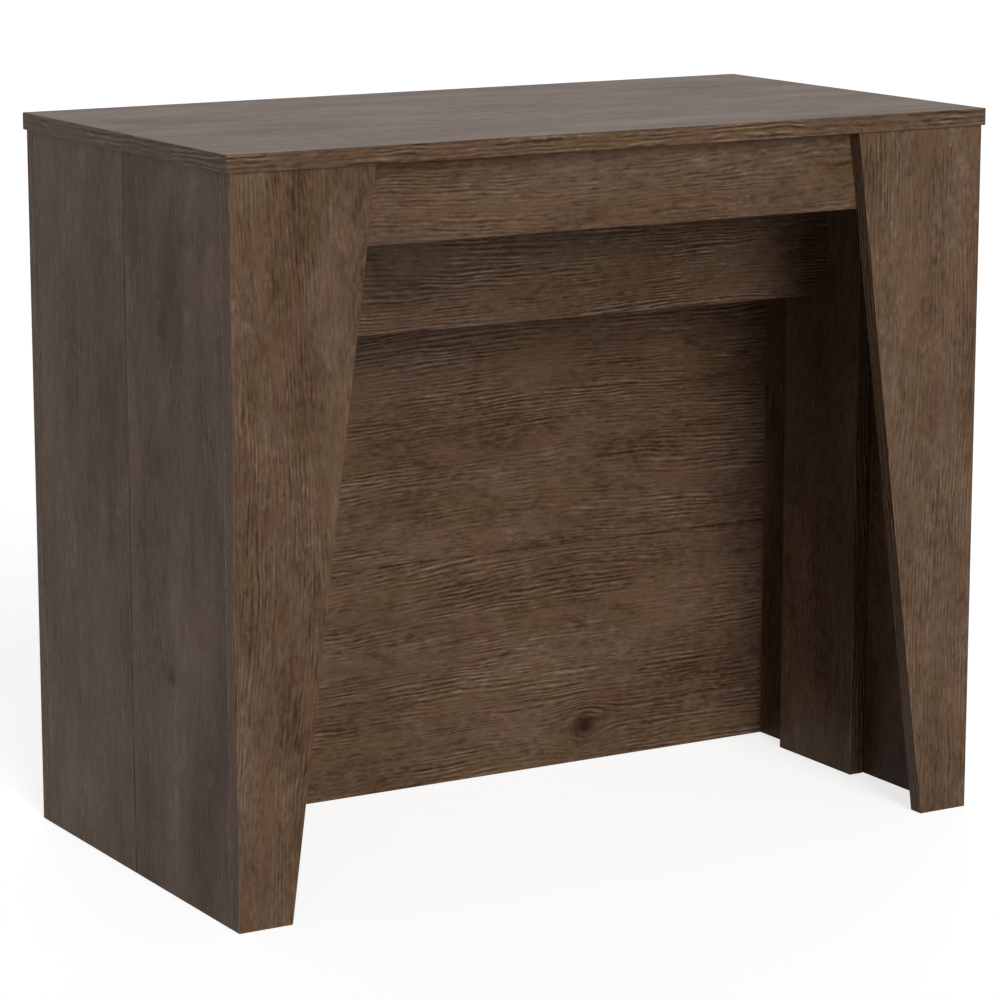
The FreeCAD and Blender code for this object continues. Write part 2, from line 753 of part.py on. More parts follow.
dowels = {"front": [], "rear": []}
for side in SIDES:
    for end in ENDS:
        dowels[end].extend(corner_dowels(end, side))
        apron_screws(end, side)
    dowels["front"].extend(top_dowels(side))
    middle_leg_screws(side)
for end in ENDS:
    group(f"{end}_dowels", dowels[end])
for owner, solids in screws.items():
    group(f"{owner}_screws", solids)
fittings = [fitting for side in SIDES for fitting in cam_fittings(side)]
group("back_panel_cams", [cam for cam, bolt in fittings])
group("back_panel_cam_bolts", [bolt for cam, bolt in fittings])

# Build, check and write one file per node

doc.recompute()
for item in doc.Objects:
    if {"Invalid", "Error"} & set(item.State):
        raise RuntimeError(f"{item.Label} failed to build: {item.State}")
os.makedirs("parts", exist_ok=True)
for node in nodes:
    if node.Shape.isNull() or not node.Shape.isValid():
        raise RuntimeError(f"{node.Label} has no valid shape")
    node.Shape.exportStep(f"parts/{node.Label}.step")
print(len(nodes), "nodes written")
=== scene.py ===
"""Looks of the extending console table: printed walnut boards on telescopic aluminium bars.

Metres, in the table's own frame: X to the right, Y from the front to the wall, Z up from the floor.
Every board is a numpy surface with banded edges, softened arrises and real screw seats. The bars, shoes,
brackets and fasteners keep their solids and get a finish.
"""
import json
import math

import bpy
import numpy as np
from mathutils.geometry import tessellate_polygon
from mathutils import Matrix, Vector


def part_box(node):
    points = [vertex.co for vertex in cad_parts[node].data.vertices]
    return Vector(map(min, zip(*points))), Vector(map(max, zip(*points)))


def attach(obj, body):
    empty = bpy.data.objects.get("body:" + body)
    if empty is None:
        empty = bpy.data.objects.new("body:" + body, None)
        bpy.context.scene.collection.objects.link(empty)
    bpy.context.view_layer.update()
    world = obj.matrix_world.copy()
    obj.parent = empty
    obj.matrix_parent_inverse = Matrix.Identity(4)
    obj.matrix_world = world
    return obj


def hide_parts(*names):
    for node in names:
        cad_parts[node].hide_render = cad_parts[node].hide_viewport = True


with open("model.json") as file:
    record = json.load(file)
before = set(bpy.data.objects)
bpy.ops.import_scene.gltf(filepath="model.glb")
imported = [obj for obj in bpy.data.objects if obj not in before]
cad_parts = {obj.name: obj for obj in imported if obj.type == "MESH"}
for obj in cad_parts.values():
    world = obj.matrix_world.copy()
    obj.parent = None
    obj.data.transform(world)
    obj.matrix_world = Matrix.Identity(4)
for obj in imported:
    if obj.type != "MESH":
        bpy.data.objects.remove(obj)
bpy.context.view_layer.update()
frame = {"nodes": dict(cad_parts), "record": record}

# Boards of the table, with the sign of each side along X
SIDES = {"left": -1, "right": 1}
ENDS = ("front", "rear")
QUARTERS = [(end, side) for end in ENDS for side in SIDES]
BOARDS = [
    "table_top",
    "back_panel",
    "middle_crossbar",
    *[f"{end}_apron" for end in ENDS],
    *[f"middle_{side}_leg" for side in SIDES],
    *[f"{end}_{side}_leg_panel" for end, side in QUARTERS],
    *[f"{end}_{side}_side_panel" for end, side in QUARTERS],
]

# Edges of the boards: radii of a banded and of a raw arris, and the least radius of a corner
ARRIS = 0.0008
RAW_ARRIS = 0.0002
CORNER_CORE = 0.0002
ROUND_STEPS = 4
LEG_FOOT_WIDTH = 0.060

# Seats of the flush screws and cams, with the gap that every hole leaves round its fastener
SEAT_STEPS = 40
FIT = 0.00005
APRON_SCREW_INSETS = (0.032, 0.112)
APRON_SCREW_RISE = 0.014
APRON_SCREW_HEAD = 0.004
APRON_SCREW_SHANK = 0.002
LEG_SCREW_INSET = 0.035
LEG_SCREW_HEAD = 0.005
LEG_SCREW_SHANK = 0.0035
CAM_SETBACK = 0.034
CAM_RADIUS = 0.0075
CAM_DEPTH = 0.013
CAM_ROWS = 3

# Numbers of a board's three finishes: printed faces, bare chipboard and banded edges
PRINT_SLOT, CORE_SLOT, EDGE_SLOT = range(3)

# Sheets of the print: the noise changes with the sheet's number, so every face, edge and plank has its own
BOARD_SHEET_STEP = 10
REAR_FACE_SHEET = 1.4
EDGE_SHEET = 2.9
EDGE_SHEET_STEP = 1.3
PLANK_SHEET_STEP = 3.7

# Printed planks, and where one of them ends across the grain of each kind of board
PLANK_WIDTH = 0.262
BACK_JOINT = 0.258
CROSSBAR_JOINT = 0.50
APRON_JOINT = 0.60
MIDDLE_LEG_JOINT = -0.1
LEG_JOINT_FROM_MIDDLE = 0.2
SIDE_JOINT = {"front": -0.240, "rear": -0.020}

# Layers of noise in the print, by features per metre along and across the grain and from sheet to sheet
PRINT_LAYERS = {
    "slow_bend": {"per_metre": (1.3, 3.4, 1), "detail": 1.0},
    "quick_bend": {"per_metre": (24, 34, 1), "detail": 1.0},
    "line_wander": {"per_metre": (6, 62, 1), "detail": 1.0},
    "line_patches": {"per_metre": (7, 24, 1), "shift": (11, 0, 0)},
    "line_breaks": {"per_metre": (44, 215, 1), "shift": (0, 0, 4), "detail": 1.0},
    "strokes": {"per_metre": (12, 120, 1), "roughness": 0.6},
    "mottle": {"per_metre": (62, 110, 1), "shift": (0, 2, 0), "roughness": 0.65},
    "fibres": {"per_metre": (70, 620, 1), "detail": 3.0, "roughness": 0.6},
    "flecks": {"per_metre": (95, 330, 1), "shift": (7, 0, 0)},
    "rays": {"per_metre": (100, 190, 1), "shift": (0, 9, 0), "detail": 1.0, "distortion": 0.7},
    "ray_patches": {"per_metre": (9, 16, 1), "shift": (0, 5, 0), "detail": 1.0},
    "clouds": {"per_metre": (4.5, 13, 1), "shift": (0, 0, 2), "detail": 4.0, "roughness": 0.62},
    "warm_streaks": {"per_metre": (11, 42, 1), "shift": (0, 0, 9), "detail": 3.0, "roughness": 0.6},
    "straw_streaks": {"per_metre": (8, 30, 1), "shift": (0, 6, 0), "detail": 3.0, "roughness": 0.6},
}

# Ranges of noise that count in the print, and what each range becomes
PRINT_RANGES = {
    "line_patches": ((0.38, 0.62), (0.22, 1.20)),
    "line_breaks": ((0.34, 0.62), (0.05, 1.25)),
    "rays": ((0.54, 0.70), (0.00, 0.13)),
    "ray_patches": ((0.50, 0.64), (0.00, 1.00)),
    "joint_breaks": ((0.36, 0.56), (0.35, 1.00)),
    "warm_share": ((0.50, 0.70), (0.00, 0.44)),
    "straw_share": ((0.50, 0.70), (0.00, 0.46)),
    "grey_share": ((0.30, 0.50), (0.40, 0.00)),
    "rubbed_share": ((0.35, 0.65), (0.08, 0.32)),
}

# How far the slow and quick bends move the grain, in metres, and the wander its lines, in turns of the wave
SLOW_BEND = 0.085
QUICK_BEND = 0.0046
LINE_WANDER = 2.4

# Tone of the print, from 0 for the darkest to 1 for the palest wood, as screen colours
WALNUT_TONES = (
    (0.00, (40, 22, 11)),
    (0.28, (66, 47, 32)),
    (0.50, (93, 73, 57)),
    (0.72, (114, 93, 76)),
    (1.00, (142, 121, 103)),
)

# How far each fine layer swings the tone, and the screen colours that streaks and rubbed arrises turn to
TONE_SWINGS = {"strokes": 0.15, "mottle": 0.39, "fibres": 0.27, "flecks": 0.47}
WARM_STREAK = (104, 76, 57)
STRAW_STREAK = (95, 75, 49)
GREY_STREAK = (90, 71, 61)
RUBBED_EDGE = (124, 101, 80)

# Hairline between two printed planks: half its width where it is full and where it has faded, and its tone
JOINT_LINE = (0.0004, 0.0016)
JOINT_TONE = -0.30

# Shine of the pressed print: its roughness, how far strokes and clouds swing that, and its specular level
PRINT_ROUGHNESS = 0.44
STROKE_SHINE = -0.12
CLOUD_SHINE = -0.08
PRINT_SPECULAR = 0.075

# Relief of the pressed print: its depth and strength, and what lines and fibres add to it
PRINT_RELIEF = 0.00022
RELIEF_STRENGTH = 0.6
LINE_RELIEF = 0.5
FIBRE_RELIEF = 0.35

# Knots, as places along and across the grain and a radius
SIDE_KNOTS = ((0.587, 0.155, 0.007), (0.448, 0.172, 0.008), (0.230, 0.146, 0.007))
BACK_KNOTS = ((0.186, -0.216, 0.008),)
KNOT_STRETCH = 1.5
KNOT_PUSH = 1.1
KNOT_CORE_FADE = 1.0
KNOT_CORE_DARK = 0.48
KNOT_HALO_FADE = 0.12
KNOT_HALO_DARK = 0.10

# Runs of the print, by what sets them apart from the plain run on the aprons
PRINT_RUNS = {
    "walnut_print": {},
    "edge_print": {"line_weight": 0.42, "cloud_depth": 0.30},
    # The top's lower ground is painted shade: a darker copy of the print that offsets the light and sheen
    # falling on the top
    "top_print_painted_shade": {"ground": 0.43, "line_weight": 0.18, "cloud_depth": 1.0},
    "leg_print": {"line_weight": 0.12, "cloud_depth": 0.80},
    "side_print": {"ground": 0.47, "line_weight": 0.16, "cloud_depth": 1.1},
    "knotty_print": {"ground": 0.47, "line_weight": 0.16, "cloud_depth": 1.3, "knots": SIDE_KNOTS},
    "back_print": {
        "ground": 0.47,
        "line_weight": 0.23,
        "line_pitch": 0.0050,
        "cloud_depth": 0.60,
        "knots": BACK_KNOTS,
    },
    "crossbar_print": {"line_weight": 0.32},
}

# Size of the zinc crystals on plates and on fasteners
PLATE_CRYSTAL = 0.0022
FASTENER_CRYSTAL = 0.0009

# Finish of the pieces that keep their solids, by a word in their names
FINISH_OF_WORD = {
    "rail_bar": "drawn_aluminium",
    "shoes": "black_nylon",
    "brackets": "zinc_plate",
    "screws": "zinc_fastener",
    "cams": "zinc_fastener",
    "bolts": "zinc_fastener",
    "dowels": "beech_dowel",
}

# Camera, fitted to the corners of the table in the photograph, with its turns in degrees
CAMERA_PLACE = (-2.0366, -3.4341, 1.1614)
CAMERA_YAW = -30.566
CAMERA_DIP = 11.496
CAMERA_LENS = 135.89
SENSOR_WIDTH = 36.0

# Light, with directions and softness in degrees
WORLD_LEVEL = 0.18
KEY_STRENGTH = 2.62
KEY_FROM_LEFT = 9.0
KEY_HEIGHTS = (6.0, 20.0, 34.0)
KEY_SOFTNESS = 24.0
BACK_STRENGTH = 1.8
BACK_FROM_RIGHT = 32.0
BACK_HEIGHT = 12.0
BACK_SOFTNESS = 50.0

# Floor
FLOOR_GREY = (0.50, 0.50, 0.50, 1.0)
FLOOR_LIFT = 0.76
FLOOR_REACH = 40.0


# Finishes

def linear(red, green, blue):
    """A colour given as 0 to 255 screen values, as the linear values that shaders take.

    The screen's standard curve: a short straight start, then a power of 2.4.
    """
    screen = np.array((red, green, blue)) / 255
    light = np.where(screen <= 0.04045, screen / 12.92, ((screen + 0.055) / 1.055) ** 2.4)
    return (*light.tolist(), 1.0)


class Finish:
    """A procedural material in the making, with short words for the nodes that it needs."""

    def __init__(self, name):
        self.material = bpy.data.materials.new(name)
        self.material.use_nodes = True
        self.nodes = self.material.node_tree.nodes
        self.links = self.material.node_tree.links
        self.nodes.clear()

    def put(self, socket, value):
        """Link another node's output to a socket, or set the socket to a constant."""
        if isinstance(value, bpy.types.NodeSocket):
            self.links.new(value, socket)
        else:
            socket.default_value = value

    def node(self, kind, inputs, **settings):
        """A node of the given kind, with its settings and its named or numbered inputs."""
        made = self.nodes.new(kind)
        for name, value in settings.items():
            setattr(made, name, value)
        for key, value in inputs.items():
            self.put(made.inputs[key], value)
        return made

    def own(self, attribute):
        """One of the mesh's own attributes, as a node."""
        return self.node("ShaderNodeAttribute", {}, attribute_name=attribute)

    def place(self):
        """Position in the table's frame."""
        return self.node("ShaderNodeTexCoord", {}).outputs["Object"]

    def stretch(self, vector, per_metre, shift=(0, 0, 0)):
        """A position counted in features per metre along each axis, and shifted."""
        inputs = {"Vector": vector, "Scale": per_metre, "Location": shift}
        return self.node("ShaderNodeMapping", inputs).outputs["Vector"]

    def noise(self, vector, per_metre, shift=(0, 0, 0), detail=2.0, roughness=0.5, distortion=0.0):
        """Soft noise from 0 to 1, with its own number of features per metre along each axis."""
        inputs = {
            "Vector": self.stretch(vector, per_metre, shift),
            "Scale": 1.0,
            "Detail": detail,
            "Roughness": roughness,
            "Distortion": distortion,
        }
        return self.node("ShaderNodeTexNoise", inputs).outputs["Fac"]

    def cells(self, vector, per_metre):
        """Cells round scattered points: a random value for each cell, and the distance from its point."""
        inputs = {"Vector": self.stretch(vector, per_metre), "Scale": 1.0}
        made = self.node("ShaderNodeTexVoronoi", inputs)
        colour = self.node("ShaderNodeSeparateColor", {"Color": made.outputs["Color"]})
        return colour.outputs[0], made.outputs["Distance"]

    def maths(self, operation, *values):
        """Arithmetic on one, two or three values."""
        return self.node("ShaderNodeMath", dict(enumerate(values)), operation=operation).outputs[0]

    def times(self, first, second):
        """Product of two values."""
        return self.maths("MULTIPLY", first, second)

    def total(self, first, *others):
        """Sum of several values."""
        for other in others:
            first = self.maths("ADD", first, other)
        return first

    def swing(self, value, reach):
        """A value from 0 to 1 as a swing of plus or minus half the reach."""
        return self.times(self.maths("SUBTRACT", value, 0.5), reach)

    def span(self, value, source, target):
        """A value from one range carried smoothly to another, held at both ends."""
        inputs = {
            "Value": value,
            "From Min": source[0],
            "From Max": source[1],
            "To Min": target[0],
            "To Max": target[1],
        }
        return self.node("ShaderNodeMapRange", inputs, interpolation_type="SMOOTHSTEP").outputs["Result"]

    def colours(self, value, stops):
        """A value from 0 to 1 as a colour between stops, which are a position and a screen colour."""
        ramp = self.node("ShaderNodeValToRGB", {"Fac": value})
        bar = ramp.color_ramp
        while len(bar.elements) < len(stops):
            bar.elements.new(1.0)
        for element, (position, colour) in zip(bar.elements, stops):
            element.position = position
            element.color = linear(*colour)
        return ramp.outputs["Color"]

    def mix(self, share, first, second):
        """Two colours mixed. A screen colour is made linear, and another node's output is linked."""
        made = self.nodes.new("ShaderNodeMix")
        made.data_type = "RGBA"
        self.put(made.inputs["Factor"], share)
        # inputs 6 and 7 of this node are its two colours, and output 2 is the mixed colour
        for socket, colour in zip(made.inputs[6:8], (first, second)):
            self.put(socket, linear(*colour) if isinstance(colour, tuple) else colour)
        return made.outputs[2]

    def bump(self, height, depth, strength):
        """A surface normal raised and sunk by a height from 0 to 1."""
        inputs = {"Height": height, "Distance": depth, "Strength": strength}
        return self.node("ShaderNodeBump", inputs).outputs["Normal"]

    def surface(self, inputs):
        """The finished surface, from the shader's named inputs."""
        shader = self.node("ShaderNodeBsdfPrincipled", inputs)
        self.node("ShaderNodeOutputMaterial", {"Surface": shader.outputs["BSDF"]})
        return self.material


class WalnutPrint(Finish):
    """Walnut decor, printed in planks on paper and pressed on the board.

    The mesh carries its place on the printed sheet: metres along the grain, metres across it, and the
    number of the sheet, to which every plank adds a step. The across place is bent by slow and quick noise,
    and each knot pushes it aside. The layers of the print read the flat or the bent place.
    """

    def __init__(self, name, knots):
        super().__init__(name)
        parts = self.node("ShaderNodeSeparateXYZ", {"Vector": self.own("grain").outputs["Vector"]})
        self.along, self.across, sheet = parts.outputs
        self.planks_across = self.maths("DIVIDE", self.across, PLANK_WIDTH)
        plank = self.maths("FLOOR", self.planks_across)
        self.number = self.total(sheet, self.times(plank, PLANK_SHEET_STEP))
        self.flat = self.at(self.across)

        slow = self.layer("slow_bend", self.flat)
        self.quick = self.layer("quick_bend", self.flat)
        self.bent_across = self.total(
            self.across,
            self.swing(slow, SLOW_BEND),
            self.swing(self.quick, QUICK_BEND),
        )
        self.knot_dark = 0.0
        for knot in knots:
            self.add_knot(*knot)
        self.bent = self.at(self.bent_across)

    def at(self, across):
        """The place on the sheet with another value across the grain."""
        return self.node("ShaderNodeCombineXYZ", {0: self.along, 1: across, 2: self.number}).outputs[0]

    def layer(self, name, place):
        """One of the print's layers of noise."""
        return self.noise(place, **PRINT_LAYERS[name])

    def ranged(self, name, noise):
        """Noise carried through one of the print's ranges."""
        return self.span(noise, *PRINT_RANGES[name])

    def add_knot(self, along, across, radius):
        """Push the grain aside round a knot and darken the knot.

        With the distance counted in radii, longer along the grain, both fade as exp(-fade distance^2): the
        dark in a small core and a wide halo, the push with the halo times the distance across the grain.
        """
        from_along = self.maths("DIVIDE", self.maths("SUBTRACT", self.along, along), KNOT_STRETCH * radius)
        from_across = self.maths("DIVIDE", self.maths("SUBTRACT", self.across, across), radius)
        square = self.total(self.times(from_along, from_along), self.times(from_across, from_across))
        core = self.maths("EXPONENT", self.times(square, -KNOT_CORE_FADE))
        halo = self.maths("EXPONENT", self.times(square, -KNOT_HALO_FADE))
        push = self.times(self.times(from_across, halo), -KNOT_PUSH * radius)
        self.bent_across = self.total(self.bent_across, push)
        self.knot_dark = self.total(
            self.times(core, KNOT_CORE_DARK),
            self.times(halo, KNOT_HALO_DARK),
            self.knot_dark,
        )

    def grain_lines(self, pitch):
        """Thin pale ridges beside thin dark grooves, in short broken runs that come and go in patches.

        A sine of the bent place with a wandering pitch, times its own size to make it thin, times the
        strengths of the patch and of the run.
        """
        wander = self.swing(self.layer("line_wander", self.bent), LINE_WANDER)
        turns = self.total(self.maths("DIVIDE", self.bent_across, pitch), wander)
        wave = self.maths("SINE", self.times(turns, 2 * math.pi))
        crest = self.times(wave, self.maths("ABSOLUTE", wave))
        patches = self.ranged("line_patches", self.layer("line_patches", self.flat))
        breaks = self.ranged("line_breaks", self.layer("line_breaks", self.bent))
        return self.times(crest, self.times(patches, breaks))

    def ray_flecks(self):
        """Short pale marks across the grain, in patches."""
        rays = self.ranged("rays", self.layer("rays", self.flat))
        patches = self.ranged("ray_patches", self.layer("ray_patches", self.flat))
        return self.times(rays, patches)

    def plank_joint(self):
        """A broken dark hairline between two printed planks."""
        to_nearest_joint = self.maths("PINGPONG", self.maths("FRACT", self.planks_across), 0.5)
        line = self.span(self.times(to_nearest_joint, PLANK_WIDTH), JOINT_LINE, (JOINT_TONE, 0.0))
        return self.times(line, self.ranged("joint_breaks", self.quick))

    def streaked(self, colour):
        """A colour that turns warmer, and towards straw or grey, in streaks along the grain."""
        warm = self.layer("warm_streaks", self.bent)
        straw = self.layer("straw_streaks", self.bent)
        colour = self.mix(self.ranged("warm_share", warm), colour, WARM_STREAK)
        colour = self.mix(self.ranged("straw_share", straw), colour, STRAW_STREAK)
        return self.mix(self.ranged("grey_share", straw), colour, GREY_STREAK)

    def rubbed(self, colour):
        """A colour that pales along the arrises, here more and there less."""
        rubbed = self.ranged("rubbed_share", self.quick)
        share = self.times(self.own("arris").outputs["Fac"], rubbed)
        return self.mix(share, colour, RUBBED_EDGE)


def walnut_print(name, ground=0.50, line_weight=0.15, line_pitch=0.0045, cloud_depth=0.50, knots=()):
    """One run of the walnut decor: its mean tone, its lines and clouds, and its knots.

    The tone is the ground plus the lines times their weight, the swings of the clouds and of the finer
    layers, the rays and the joint, less the dark of the knots.
    """
    decor = WalnutPrint(name, knots)
    lines = decor.grain_lines(line_pitch)
    clouds = decor.layer("clouds", decor.flat)
    fine = {layer: decor.layer(layer, decor.bent) for layer in TONE_SWINGS}
    tone = decor.total(
        ground,
        decor.times(lines, line_weight),
        decor.swing(clouds, cloud_depth),
        *[decor.swing(fine[layer], reach) for layer, reach in TONE_SWINGS.items()],
        decor.ray_flecks(),
        decor.plank_joint(),
    )
    colour = decor.colours(decor.maths("SUBTRACT", tone, decor.knot_dark), WALNUT_TONES)
    roughness = decor.total(
        PRINT_ROUGHNESS,
        decor.swing(fine["strokes"], STROKE_SHINE),
        decor.swing(clouds, CLOUD_SHINE),
    )
    relief = decor.total(decor.times(lines, LINE_RELIEF), decor.times(fine["fibres"], FIBRE_RELIEF))
    return decor.surface({
        "Base Color": decor.rubbed(decor.streaked(colour)),
        "Roughness": roughness,
        "Specular IOR Level": PRINT_SPECULAR,
        "Normal": decor.bump(relief, depth=PRINT_RELIEF, strength=RELIEF_STRENGTH),
    })


def chipboard_core():
    """Raw edge of the board: pressed chips, seen as small cells of light and dark wood."""
    core = Finish("chipboard_core")
    place = core.place()
    chip, from_middle = core.cells(place, per_metre=(260, 260, 420))
    dust = core.noise(place, per_metre=(900, 900, 900), detail=3.0)
    gap = core.span(from_middle, (0.45, 0.85), (0.0, -0.35))
    tone = core.total(core.times(chip, 0.6), core.swing(dust, 0.5), gap, 0.2)
    colour = core.colours(tone, ((0.0, (98, 80, 62)), (0.5, (158, 134, 106)), (1.0, (198, 175, 146))))
    return core.surface({
        "Base Color": colour,
        "Roughness": core.span(dust, (0.2, 0.8), (0.78, 0.95)),
        "Specular IOR Level": 0.2,
        "Normal": core.bump(tone, depth=0.0005, strength=0.7),
    })


def drawn_aluminium():
    """Natural anodised bar: draw lines along its length, a faint uneven bloom and darker scuffs."""
    metal = Finish("drawn_aluminium")
    place = metal.place()
    draw_lines = metal.noise(place, per_metre=(1400, 2.2, 1400), detail=3.0, roughness=0.65)
    bloom = metal.noise(place, per_metre=(14, 5, 30), detail=3.0)
    scuffs = metal.noise(place, per_metre=(300, 40, 500), shift=(4, 0, 0))
    colour = metal.mix(bloom, (196, 198, 200), (214, 214, 211))
    colour = metal.mix(metal.span(scuffs, (0.62, 0.76), (0.0, 0.35)), colour, (168, 169, 171))
    return metal.surface({
        "Base Color": colour,
        "Metallic": 1.0,
        "Roughness": metal.total(0.34, metal.swing(draw_lines, 0.22), metal.swing(bloom, 0.12)),
        "Normal": metal.bump(draw_lines, depth=0.00006, strength=0.5),
    })


def black_nylon():
    """Moulded glass-filled nylon: fine mould texture and pale fibre specks."""
    nylon = Finish("black_nylon")
    place = nylon.place()
    texture = nylon.noise(place, per_metre=(2200, 2200, 2200))
    flow = nylon.noise(place, per_metre=(60, 30, 90), detail=3.0)
    colour = nylon.mix(flow, (26, 26, 28), (44, 44, 46))
    colour = nylon.mix(nylon.span(texture, (0.66, 0.78), (0.0, 0.3)), colour, (96, 96, 96))
    return nylon.surface({
        "Base Color": colour,
        "Roughness": nylon.span(texture, (0.25, 0.75), (0.42, 0.6)),
        "Specular IOR Level": 0.45,
        "Normal": nylon.bump(texture, depth=0.00008, strength=0.6),
    })


def zinc_plate(name, crystal_size):
    """Zinc plated steel: crystals of slightly different shine, a faint blue and straw tint, and grime."""
    zinc = Finish(name)
    place = zinc.place()
    per_metre = 1 / crystal_size
    crystal, _ = zinc.cells(place, (per_metre, per_metre, per_metre))
    tint = zinc.noise(place, per_metre=(45, 45, 45))
    grime = zinc.noise(place, per_metre=(160, 160, 160), shift=(0, 3, 0), detail=4.0)
    colour = zinc.mix(tint, (176, 184, 192), (198, 194, 182))
    colour = zinc.mix(zinc.span(grime, (0.55, 0.78), (0.0, 0.4)), colour, (132, 132, 130))
    return zinc.surface({
        "Base Color": colour,
        "Metallic": 1.0,
        "Roughness": zinc.total(zinc.span(crystal, (0.0, 1.0), (0.26, 0.40)), zinc.swing(grime, 0.16)),
        "Normal": zinc.bump(crystal, depth=0.00003, strength=0.4),
    })


def beech_dowel():
    """Beech with its short dark ray flecks."""
    beech = Finish("beech_dowel")
    place = beech.place()
    grain = beech.noise(place, per_metre=(700, 60, 60), detail=3.0)
    rays = beech.noise(place, per_metre=(1600, 260, 260), shift=(5, 0, 0), detail=1.0)
    colour = beech.mix(grain, (196, 156, 112), (222, 186, 142))
    colour = beech.mix(beech.span(rays, (0.60, 0.72), (0.0, 0.5)), colour, (150, 106, 68))
    return beech.surface({
        "Base Color": colour,
        "Roughness": beech.span(grain, (0.2, 0.8), (0.5, 0.7)),
        "Normal": beech.bump(rays, depth=0.0001, strength=0.5),
    })


finishes = {name: walnut_print(name, **run) for name, run in PRINT_RUNS.items()}
finishes["chipboard_core"] = chipboard_core()
finishes["drawn_aluminium"] = drawn_aluminium()
finishes["black_nylon"] = black_nylon()
finishes["zinc_plate"] = zinc_plate("zinc_plate", PLATE_CRYSTAL)
finishes["zinc_fastener"] = zinc_plate("zinc_fastener", FASTENER_CRYSTAL)
finishes["beech_dowel"] = beech_dowel()


# Boards

def axis_order(axes):
    """Numbers of the table's axes that a board's own axes lie on."""
    return ["xyz".index(axis) for axis in axes]


def outward_directions(corners):
    """Outward direction of every edge of an outline, whose corners are taken anticlockwise."""
    run = np.roll(corners, -1, axis=0) - corners
    return np.stack([run[:, 1], -run[:, 0]], axis=1) / np.linalg.norm(run, axis=1)[:, None]


def edge_names(corners, axes):
    """The table's direction that every edge of an outline faces, such as z+ for an upper edge."""
    names = []
    for direction in outward_directions(corners):
        main = np.argmax(np.abs(direction))
        names.append(axes[main] + ("+" if direction[main] > 0 else "-"))
    return names


class BandedRim:
    """The edge of a board: a profile carried round the outline.

    The outline's corners are taken anticlockwise, and each edge has its own arris radius. At a corner the
    two neighbouring edges are moved inwards to meet in a centre, and the path swings from one edge's outward
    direction to the other's: centre + reach cos(swing) first + reach sin(swing) second. The profile rounds
    each arris by a quarter turn: the reach grows with the sine of the turn, from the face to the edge, while
    the height drops by the radius times one minus its cosine.
    Points and normals go by profile step and path step. The owner is the edge that a path step belongs to,
    and path and profile are the lengths along each. The wear is greatest in the middle of an arris.
    """

    def __init__(self, corners, arris, low, high):
        quarter = np.linspace(0, math.pi / 2, ROUND_STEPS + 1)
        turn = np.concatenate([quarter, quarter[::-1]])
        is_upper = np.repeat([True, False], ROUND_STEPS + 1)
        edge = np.arange(len(corners))
        before = np.roll(edge, 1)
        outward = outward_directions(corners)

        support = np.sum(outward * corners, axis=1) - arris - CORNER_CORE
        pairs = np.stack([outward[before], outward], axis=1)
        supports = np.stack([support[before], support], axis=1)
        centre = np.linalg.solve(pairs, supports[:, :, None])[:, :, 0]

        first = np.cos(quarter)[None, :, None] * outward[before][:, None, :]
        second = np.sin(quarter)[None, :, None] * outward[:, None, :]
        reach = CORNER_CORE + np.sin(turn)[:, None] * arris[None, :]
        plan = (
            centre[None, :, None, :]
            + reach[:, before][:, :, None, None] * first[None]
            + reach[:, :, None, None] * second[None]
        )
        radius = np.hypot(arris[before][:, None] * np.cos(quarter), arris[:, None] * np.sin(quarter))
        drop = (1 - np.cos(turn))[:, None, None] * radius[None]
        height = np.where(is_upper[:, None, None], high - drop, low + drop)
        points = np.concatenate([plan, height[..., None]], axis=3)

        facing = first + second
        facing = facing / np.linalg.norm(facing, axis=2, keepdims=True)
        rise = np.where(is_upper, np.cos(turn), -np.cos(turn))
        tilt = np.broadcast_to(rise[:, None, None, None], (*plan.shape[:3], 1))
        normals = np.concatenate([np.sin(turn)[:, None, None, None] * facing[None], tilt], axis=3)

        self.points = points.reshape(len(turn), -1, 3)
        self.normals = normals.reshape(len(turn), -1, 3)
        steps = np.arange(ROUND_STEPS + 1)
        self.owner = np.where(steps < ROUND_STEPS / 2, before[:, None], edge[:, None]).ravel()
        wall = self.points[ROUND_STEPS]
        lengths = np.linalg.norm(np.roll(wall, -1, axis=0) - wall, axis=1)
        self.path = np.concatenate([[0], np.cumsum(lengths)])
        arc = ARRIS * quarter
        self.profile = np.concatenate([arc, high - low + (math.pi - 2) * ARRIS - arc[::-1]])
        self.wear = np.sin(2 * turn)


def seat_cup(centre, face_sign, mouth, floor, depth):
    """A screw seat: a circle carried straight down into the board while its radius goes from mouth to floor.

    Two rings and one point in the middle of the floor, with normals that face the axis.
    """
    around = np.linspace(0, 2 * math.pi, SEAT_STEPS, endpoint=False)
    ring = np.stack([np.cos(around), np.sin(around)], axis=1)
    level = centre[2] - face_sign * depth
    upper = np.column_stack([centre[:2] + mouth * ring, np.full(SEAT_STEPS, centre[2])])
    lower = np.column_stack([centre[:2] + floor * ring, np.full(SEAT_STEPS, level)])
    points = np.concatenate([upper, lower, [[*centre[:2], level]]])
    slant = math.hypot(depth, mouth - floor)
    rise = face_sign * (mouth - floor) / slant
    normals = np.column_stack([-ring * depth / slant, np.full(SEAT_STEPS, rise)])
    return points, normals


